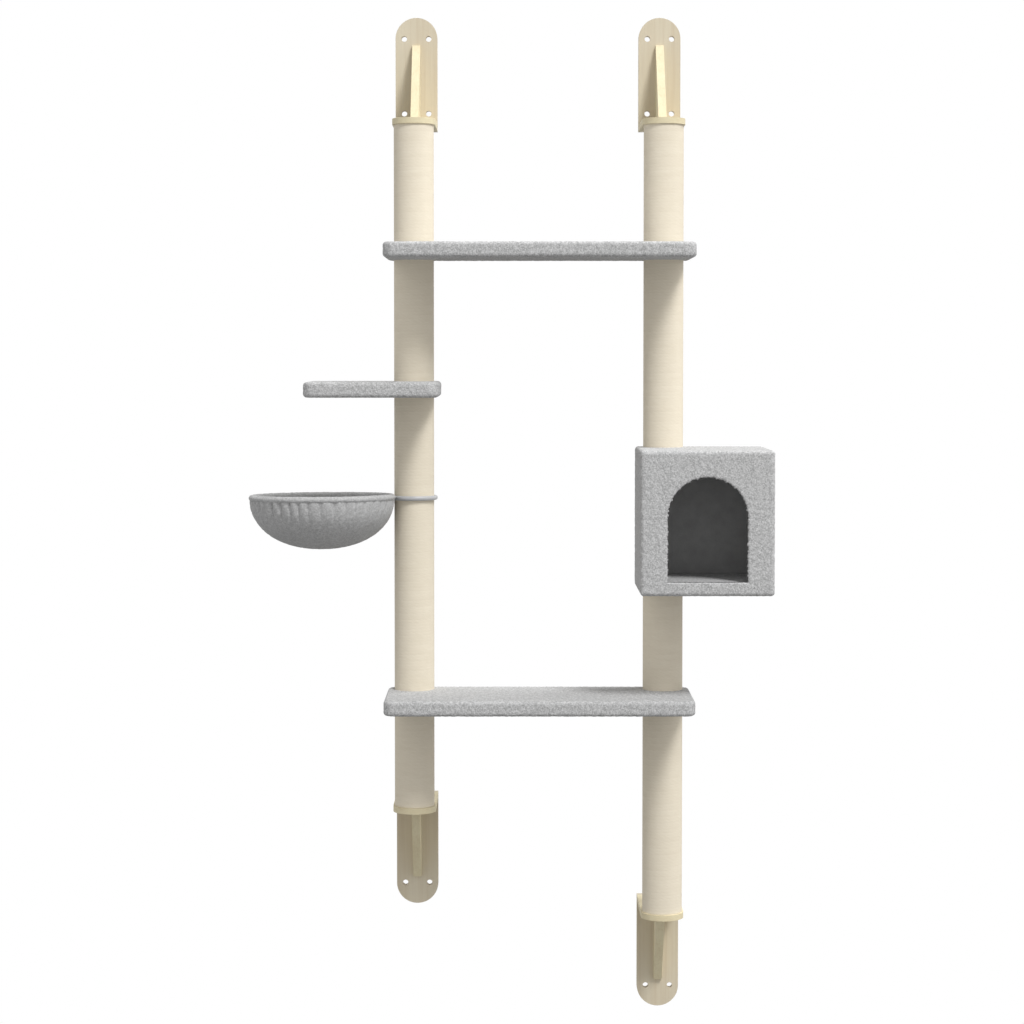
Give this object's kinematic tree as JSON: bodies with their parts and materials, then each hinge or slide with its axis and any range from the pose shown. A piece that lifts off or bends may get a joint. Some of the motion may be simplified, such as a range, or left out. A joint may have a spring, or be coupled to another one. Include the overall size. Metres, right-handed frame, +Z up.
{
  "type": "wall mounted cat tree",
  "caption": "Wall mounted cat tree: sisal wrapped posts on wooden wall brackets, with plush platforms, a box house with an arched door, and a round hammock that swings round a post.",
  "frame": {"origin": "centre of the four screw holes of the upper left wall plate, on the wall plane", "axes": "+Z up along the posts, +Y into the wall, +X to the right as seen from the front"},
  "size_m": [1.0307, 0.3663, 2.05],
  "materials": {
    "bracket_wood": "pale clear lacquered birch, fine straight grain",
    "board_wood": "raw board, hidden inside plush and posts",
    "tube_card": "plain wound card",
    "sisal": "natural cream sisal cord wound turn against turn",
    "plush": "short curly light grey plush",
    "mat_plush": "short light grey plush",
    "lining": "dark grey thin felt",
    "wire_coat": "satin light grey coated steel wire",
    "steel_fixings": "zinc plated"
  },
  "bodies": {
    "tree": {"wall_plate_upper_left": "bracket_wood", "wall_plate_upper_right": "bracket_wood", "wall_plate_lower_left": "bracket_wood", "wall_plate_lower_right": "bracket_wood", "post_flange_upper_left": "bracket_wood", "post_flange_upper_right": "bracket_wood", "post_flange_lower_left": "bracket_wood", "post_flange_lower_right": "bracket_wood", "gusset_upper_left": "bracket_wood", "gusset_upper_right": "bracket_wood", "gusset_lower_left": "bracket_wood", "gusset_lower_right": "bracket_wood", "bracket_screws": "steel_fixings", "flange_bolts": "steel_fixings", "flange_washers": "steel_fixings", "left_tube_top": "tube_card", "left_tube_upper": "tube_card", "left_tube_middle": "tube_card", "left_tube_foot": "tube_card", "right_tube_top": "tube_card", "right_tube_upper": "tube_card", "right_tube_middle": "tube_card", "right_tube_foot": "tube_card", "left_sisal_top": "sisal", "left_sisal_upper": "sisal", "left_sisal_middle": "sisal", "left_sisal_foot": "sisal", "right_sisal_top": "sisal", "right_sisal_upper": "sisal", "right_sisal_middle": "sisal", "right_sisal_foot": "sisal", "left_post_plugs": "board_wood", "right_post_plugs": "board_wood", "insert_nuts": "steel_fixings", "platform_studs": "steel_fixings", "upper_platform_board": "board_wood", "small_platform_board": "board_wood", "lower_platform_board": "board_wood", "upper_platform_plush": "plush", "small_platform_plush": "plush", "lower_platform_plush": "plush", "house_top_board": "board_wood", "house_floor_board": "board_wood", "house_back_board": "board_wood", "house_left_board": "board_wood", "house_right_board": "board_wood", "house_front_board": "board_wood", "house_plush": "plush", "house_lining": "lining", "house_floor_mat": "mat_plush", "house_bolts": "steel_fixings", "house_screws": "steel_fixings"},
    "hammock": {"hammock_wire_frame": "wire_coat", "hammock_hem": "plush", "hammock_bowl": "plush"}
  },
  "joints": [
    {"name": "hammock_swivel", "type": "hinge", "parent": "tree", "child": "hammock", "pos_m": [0, -0.165, -0.859], "axis": [0, 0, 1], "range_deg": [-20, 165]}
  ]
}
